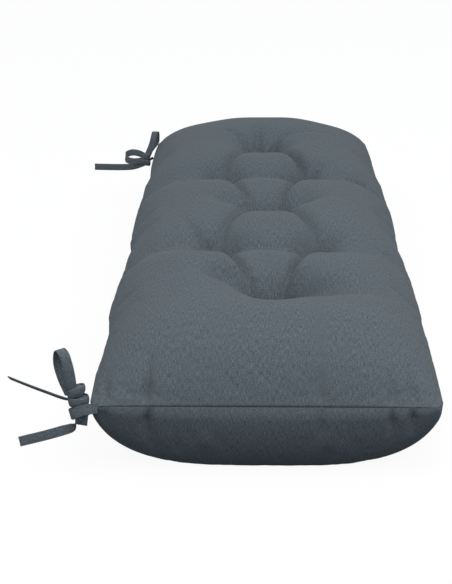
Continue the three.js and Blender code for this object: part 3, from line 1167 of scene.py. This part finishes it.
def studio_world(strength):
    """Even light from all round. The eye sees it as pale as the floor."""
    world = bpy.data.worlds.new("studio")
    world.use_nodes = True
    world.node_tree.nodes.clear()
    make = NodeMaker(world.node_tree)
    sky = make.add("ShaderNodeBackground", {"Color": SKY_COLOUR, "Strength": strength})
    seen = make.add("ShaderNodeBackground", {"Color": WHITE, "Strength": PALE})
    make.add("ShaderNodeOutputWorld", {"Surface": make.for_eye(seen, sky)})
    return world


def area_light(name, around, height, power):
    """A round soft light that faces the cushion, in degrees round from the front and up."""
    turn, up = math.radians(around), math.radians(height)
    flat = math.cos(up)
    away = Vector((math.sin(turn) * flat, -math.cos(turn) * flat, math.sin(up)))
    light = bpy.data.lights.new(name, "AREA")
    light.shape = "DISK"
    light.size = LIGHT_SIZE
    light.energy = power
    light.color = LIGHT_COLOUR
    lamp = new_object(name, light)
    lamp.location = MIDDLE + away * LIGHT_DISTANCE
    lamp.rotation_euler = (-away).to_track_quat("-Z", "Y").to_euler()


def add_camera(scene, lens):
    """The camera in front of the near end, above the cushion."""
    camera = bpy.data.cameras.new("camera")
    camera.lens = lens
    camera.sensor_width = SENSOR
    camera.clip_end = 50.0
    holder = new_object("camera", camera)
    flat = math.cos(CAMERA_DOWN)
    ahead = Vector((
        math.sin(CAMERA_TURN) * flat, math.cos(CAMERA_TURN) * flat, -math.sin(CAMERA_DOWN),
    ))
    level = Vector((math.cos(CAMERA_TURN), -math.sin(CAMERA_TURN), 0.0))
    upright = level.cross(ahead)
    right = level * math.cos(CAMERA_ROLL) + upright * math.sin(CAMERA_ROLL)
    up = upright * math.cos(CAMERA_ROLL) - level * math.sin(CAMERA_ROLL)
    turned = Matrix((right, up, -ahead)).transposed().to_4x4()
    near_seam = MIDDLE - Vector((0.0, LENGTH / 2, 0.0))
    holder.matrix_world = Matrix.Translation(near_seam + CAMERA_PLACE) @ turned
    scene.camera = holder


class SCENE_OT_bench_stage(bpy.types.Operator):
    """Make the floor, the soft lights and the camera"""

    bl_idname = "scene.bench_stage"
    bl_label = "Stage"

    def execute(self, context):
        stage = context.scene.bench_stage
        half = stage.floor_size / 2
        mesh = bpy.data.meshes.new("floor")
        corners = [(-half, -half, 0), (half, -half, 0), (half, half, 0), (-half, half, 0)]
        mesh.from_pydata(corners, [], [(0, 1, 2, 3)])
        floor = new_object("floor", mesh)
        mesh.materials.append(floor_material())
        context.scene.world = studio_world(stage.sky)
        area_light("key_light", 45, 48, stage.key_power)
        area_light("front_light", 0, 62, stage.front_power)
        add_camera(context.scene, stage.lens)
        context.scene.view_settings.view_transform = "Standard"
        return {"FINISHED"}


# --- The add-on ---


SETTINGS = {
    "bench_cushion": CushionSettings,
    "bench_cloth": ClothSettings,
    "bench_straps": StrapSettings,
    "bench_stage": StageSettings,
}
OPERATORS = (MESH_OT_bench_cushion, MESH_OT_near_tie, MESH_OT_far_tie, SCENE_OT_bench_stage)


class VIEW3D_PT_bench_cushion(bpy.types.Panel):
    """Everything that makes the cushion, in order"""

    bl_label = "Bench Cushion"
    bl_idname = "VIEW3D_PT_bench_cushion"
    bl_space_type = "VIEW_3D"
    bl_region_type = "UI"
    bl_category = "Cushion"

    def draw(self, context):
        for name, group in SETTINGS.items():
            box = self.layout.box()
            for label in group.__annotations__:
                box.prop(getattr(context.scene, name), label)
        for operator in OPERATORS:
            self.layout.operator(operator.bl_idname)


def register():
    for name, group in SETTINGS.items():
        bpy.utils.register_class(group)
        setattr(bpy.types.Scene, name, PointerProperty(type=group))
    for operator in OPERATORS:
        bpy.utils.register_class(operator)
    bpy.utils.register_class(VIEW3D_PT_bench_cushion)


def unregister():
    bpy.utils.unregister_class(VIEW3D_PT_bench_cushion)
    for operator in reversed(OPERATORS):
        bpy.utils.unregister_class(operator)
    for name, group in reversed(SETTINGS.items()):
        delattr(bpy.types.Scene, name)
        bpy.utils.unregister_class(group)


def main():
    register()
    bpy.ops.mesh.bench_cushion()
    bpy.ops.mesh.bench_near_tie()
    bpy.ops.mesh.bench_far_tie()
    bpy.ops.scene.bench_stage()


if __name__ == "__main__":
    main()
